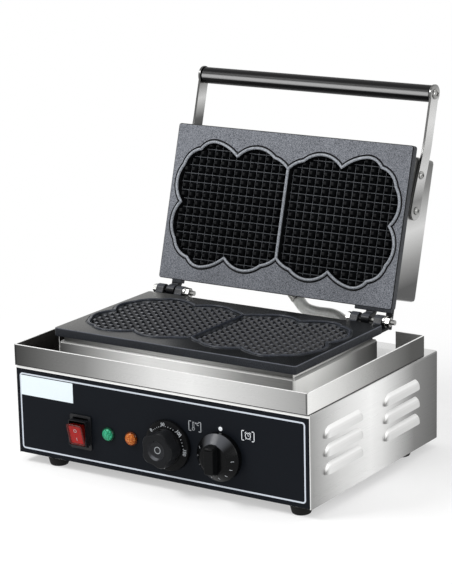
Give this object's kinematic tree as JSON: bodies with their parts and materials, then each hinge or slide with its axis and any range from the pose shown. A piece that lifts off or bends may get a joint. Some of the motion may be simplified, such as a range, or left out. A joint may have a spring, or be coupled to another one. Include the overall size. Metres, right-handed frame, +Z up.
{
  "type": "commercial waffle maker",
  "caption": "Countertop waffle maker with a hinged lid, cast plates with two clover-shaped cavities, a splash tray and a front control panel.",
  "frame": {"origin": "on the surface it stands on, under the middle of the whole part's bounding box", "axes": "+Z up, -Y to the user and the control panel, +X to the user's right"},
  "size_m": [0.4092, 0.3888, 0.4205],
  "materials": {
    "brushed_steel": "brushed stainless sheet",
    "bright_steel": "bright plated",
    "coated_cast_iron": "non-stick coated, satin",
    "coated_cast_grey": "speckled grey coating, satin",
    "panel_black": "satin black film",
    "black_plastic": "glossy black",
    "red_rocker": "glossy red",
    "green_lens": "glossy lens",
    "amber_lens": "glossy lens",
    "rubber": "matte",
    "ceramic": "unglazed",
    "mineral_wool": "matte"
  },
  "bodies": {
    "base": {"housing_shell": "brushed_steel", "base_plate": "brushed_steel", "control_panel": "panel_black", "foot_front_left": "rubber", "foot_front_right": "rubber", "foot_back_left": "rubber", "foot_back_right": "rubber", "switch_bezel": "black_plastic", "lamp_green": "green_lens", "lamp_amber": "amber_lens", "thermostat_body": "brushed_steel", "timer_body": "ceramic", "terminal_block": "ceramic", "cable_gland": "black_plastic", "splash_tray": "brushed_steel", "heater_box": "brushed_steel", "lower_plate": "coated_cast_iron", "hinge_pin_left": "bright_steel", "hinge_pin_right": "bright_steel", "hinge_nut_left": "bright_steel", "hinge_nut_right": "bright_steel", "lower_element": "bright_steel", "sensor_bulb": "bright_steel", "lower_insulation": "mineral_wool", "conduit": "bright_steel", "conduit_fitting_box": "bright_steel"},
    "lid": {"upper_plate": "coated_cast_grey", "lid_cover": "brushed_steel", "handle_arm_left": "brushed_steel", "handle_arm_right": "brushed_steel", "handle_grip": "black_plastic", "arm_screw_low_left": "bright_steel", "arm_screw_high_left": "bright_steel", "arm_screw_low_right": "bright_steel", "arm_screw_high_right": "bright_steel", "grip_screw_left": "bright_steel", "grip_screw_right": "bright_steel", "upper_element": "bright_steel", "upper_insulation": "mineral_wool", "conduit_fitting_lid": "bright_steel"},
    "rocker": {"rocker": "red_rocker"},
    "temperature_knob": {"temperature_knob": "black_plastic"},
    "timer_knob": {"timer_knob": "black_plastic"}
  },
  "joints": [
    {"name": "lid_hinge", "type": "hinge", "parent": "base", "child": "lid", "pos_m": [0, 0.06793, 0.1607], "axis": [1, 0, 0], "range_deg": [0, 106.4], "deforming": ["conduit"]},
    {"name": "rocker_tilt", "type": "hinge", "parent": "base", "child": "rocker", "pos_m": [-0.1065, -0.17597, 0.0512], "axis": [1, 0, 0], "range_deg": [-30, 0]},
    {"name": "temperature_turn", "type": "hinge", "parent": "base", "child": "temperature_knob", "pos_m": [0.0152, -0.16797, 0.0555], "axis": [0, 1, 0], "range_deg": [0, 270]},
    {"name": "timer_turn", "type": "hinge", "parent": "base", "child": "timer_knob", "pos_m": [0.085, -0.16797, 0.0543], "axis": [0, 1, 0], "range_deg": [0, 300]}
  ]
}
